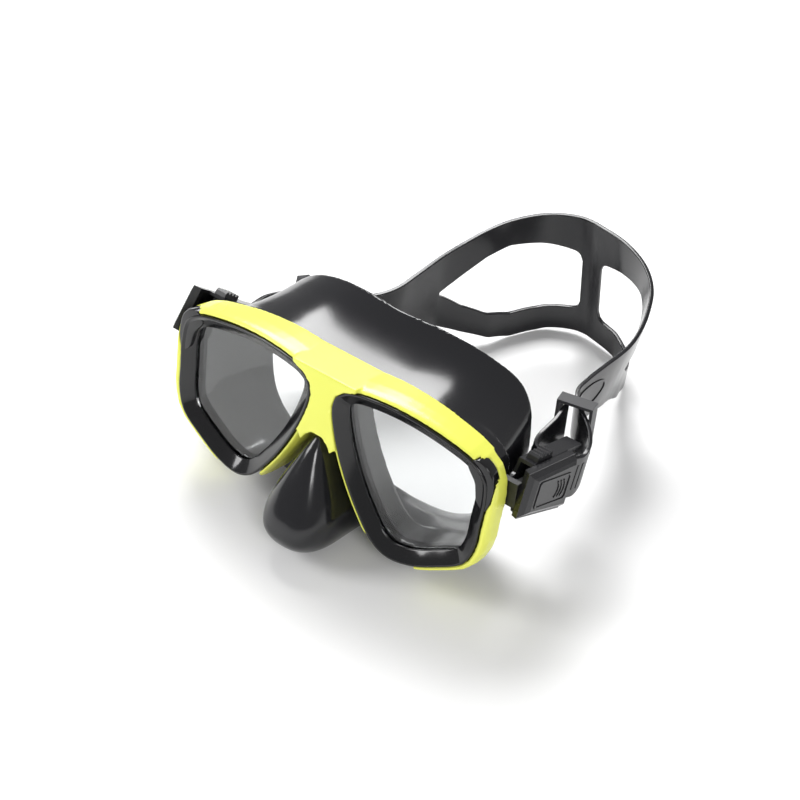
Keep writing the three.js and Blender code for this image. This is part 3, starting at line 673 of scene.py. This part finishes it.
def opening(side):
    """The hole between the upper and lower bands, with round corners at the crossbar."""
    start, end, corner = 5, 71, 4
    top, bottom = [], []
    for reach in np.linspace(start, end, 60):
        round_off = corner - math.sqrt(max(0, corner**2 - max(0, corner - (reach - start)) ** 2))
        squeeze = round_off + 0.6 * max(0, 1 - (end - reach) / 3)
        top.append((side * reach, edge_at(reach, 1) + squeeze))
        bottom.append((side * reach, edge_at(reach, 2) - squeeze))
    return top + bottom[::-1]


def make_strap():
    low, high = REACH[0], REACH[-1]
    reaches = np.linspace(low, high, 320)
    outline = [(r, 0) for r in reaches] + [(r, edge_at(r, 3)) for r in reaches[::-1]]
    strap = strap_piece("split_strap", [outline, opening(1), opening(-1)], STRAP_THICKNESS / 2, 0.4)
    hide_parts("head_strap")
    for side, name in ((1, "left"), (-1, "right")):
        turn = np.linspace(0, 2 * math.pi, 48, endpoint=False)
        rings = [
            [(side * (112 + a * math.cos(t)), 10.6 + b * math.sin(t)) for t in turn]
            for a, b in ((17, 7), (15.8, 5.8))
        ]
        strap_piece(f"strap_oval_{name}", rings, 0.3, 0.14, -STRAP_THICKNESS / 2 - 0.1)
        end = abs(high if side > 0 else low)
        bars = [
            [(side * at, 3.4), (side * (at + 1.2), 3.4), (side * (at + 1.2), 14.2), (side * at, 14.2)]
            for at in np.arange(end - 72, end - 3, 3.4)
        ]
        strap_piece(f"strap_teeth_{name}", bars, 0.26, 0.1, -STRAP_THICKNESS / 2 + 0.04)


COVER_FACE = 7.2


def make_buckle_reliefs():
    for name in ("left", "right"):
        frames = []
        for inset in (0, 0.8):
            x0, x1, z = -2 + inset, 21 - inset, 5.9 - inset
            frames.append([
                (x0, -z + 1), (x0 + 1, -z), (x1 - 1, -z), (x1, -z + 1),
                (x1, z - 1), (x1 - 1, z), (x0 + 1, z), (x0, z - 1),
            ])
        buckle_relief(f"cover_border_{name}", frames, 0.4)
        arcs = []
        for centre in (13.2, 15.4, 17.6):
            turn = np.linspace(-0.9, 0.9, 15)
            outer = [(centre - 4 + 4.8 * math.cos(t), 4.8 * math.sin(t)) for t in turn]
            inner = [(centre - 4 + 4.1 * math.cos(t), 4.1 * math.sin(t)) for t in turn[::-1]]
            arcs.append(outer + inner)
        buckle_relief(f"cover_grip_{name}", arcs, 0.35)


make_strap()
make_buckle_reliefs()

# ---------- carried-over pieces ----------

LOOKS = {
    "main_frame": SATIN, "lens": GLASS, "buckle_lug": SATIN, "swivel_pin": STEEL, "buckle_base": BUCKLE,
    "buckle_cover": BUCKLE, "release_button": BUTTON, "button_spring": STEEL, "strap_pawl": NYLON,
    "pawl_pin": STEEL,
    "outer_frame": YELLOW, "strap_roller": NYLON, "roller_pin": STEEL, "strap_keeper": KEEPER,
}
BEVELS = {
    "buckle_base": 0.35, "buckle_cover": 0.8, "release_button": 0.25, "strap_keeper": 0.5, "buckle_lug": 0.3,
}


def dress(node, thing):
    for prefix, look in LOOKS.items():
        if node.startswith(prefix) and "bezel" not in node:
            thing.data.materials.clear()
            thing.data.materials.append(look)
            for polygon in thing.data.polygons:
                polygon.material_index = 0
    for prefix, width in BEVELS.items():
        if node.startswith(prefix):
            modify(
                thing, "BEVEL", width=width * MM, segments=3, limit_method="ANGLE",
                angle_limit=math.radians(28),
            )
            modify(thing, "WEIGHTED_NORMAL", keep_sharp=True)


for node, thing in frame["nodes"].items():
    dress(node, thing)

# ---------- floor and light ----------


def make_floor():
    data = bpy.data.meshes.new("floor")
    data.from_pydata([(-6, -6, 0), (6, -6, 0), (6, 6, 0), (-6, 6, 0)], [], [(0, 1, 2, 3)])
    floor = bpy.data.objects.new("floor", data)
    floor.location.z = cad_box[0][2] - 0.0002
    bpy.context.collection.objects.link(floor)
    data.materials.append(material("floor_white", (0.9, 0.9, 0.9), 0.9, bump=0, tint=(0.9, 0.9, 0.9)))


def make_light(name, place, target, size, power, size_y=None):
    data = bpy.data.lights.new(name, "AREA")
    data.energy, data.size = power, size
    if size_y:
        data.shape, data.size_y = "RECTANGLE", size_y
    light = bpy.data.objects.new(name, data)
    light.location = place
    light.rotation_euler = (Vector(target) - Vector(place)).to_track_quat("-Z", "Y").to_euler()
    bpy.context.collection.objects.link(light)


make_floor()
make_light("overhead", (-0.45, 0.45, 0.85), (0, 0, 0.03), 0.55, 13)
make_light("front_left", (-0.9, -0.7, 0.7), (0, 0, 0.03), 0.5, 8)
make_light("front_right", (0.9, -0.8, 0.8), (0, 0, 0.03), 0.4, 7)
world = bpy.data.worlds.new("studio")
bpy.context.scene.world = world
world.use_nodes = True
world.node_tree.nodes["Background"].inputs["Color"].default_value = (1, 1, 1, 1)
world.node_tree.nodes["Background"].inputs["Strength"].default_value = 0.36
bpy.context.scene.view_settings.view_transform = "Standard"
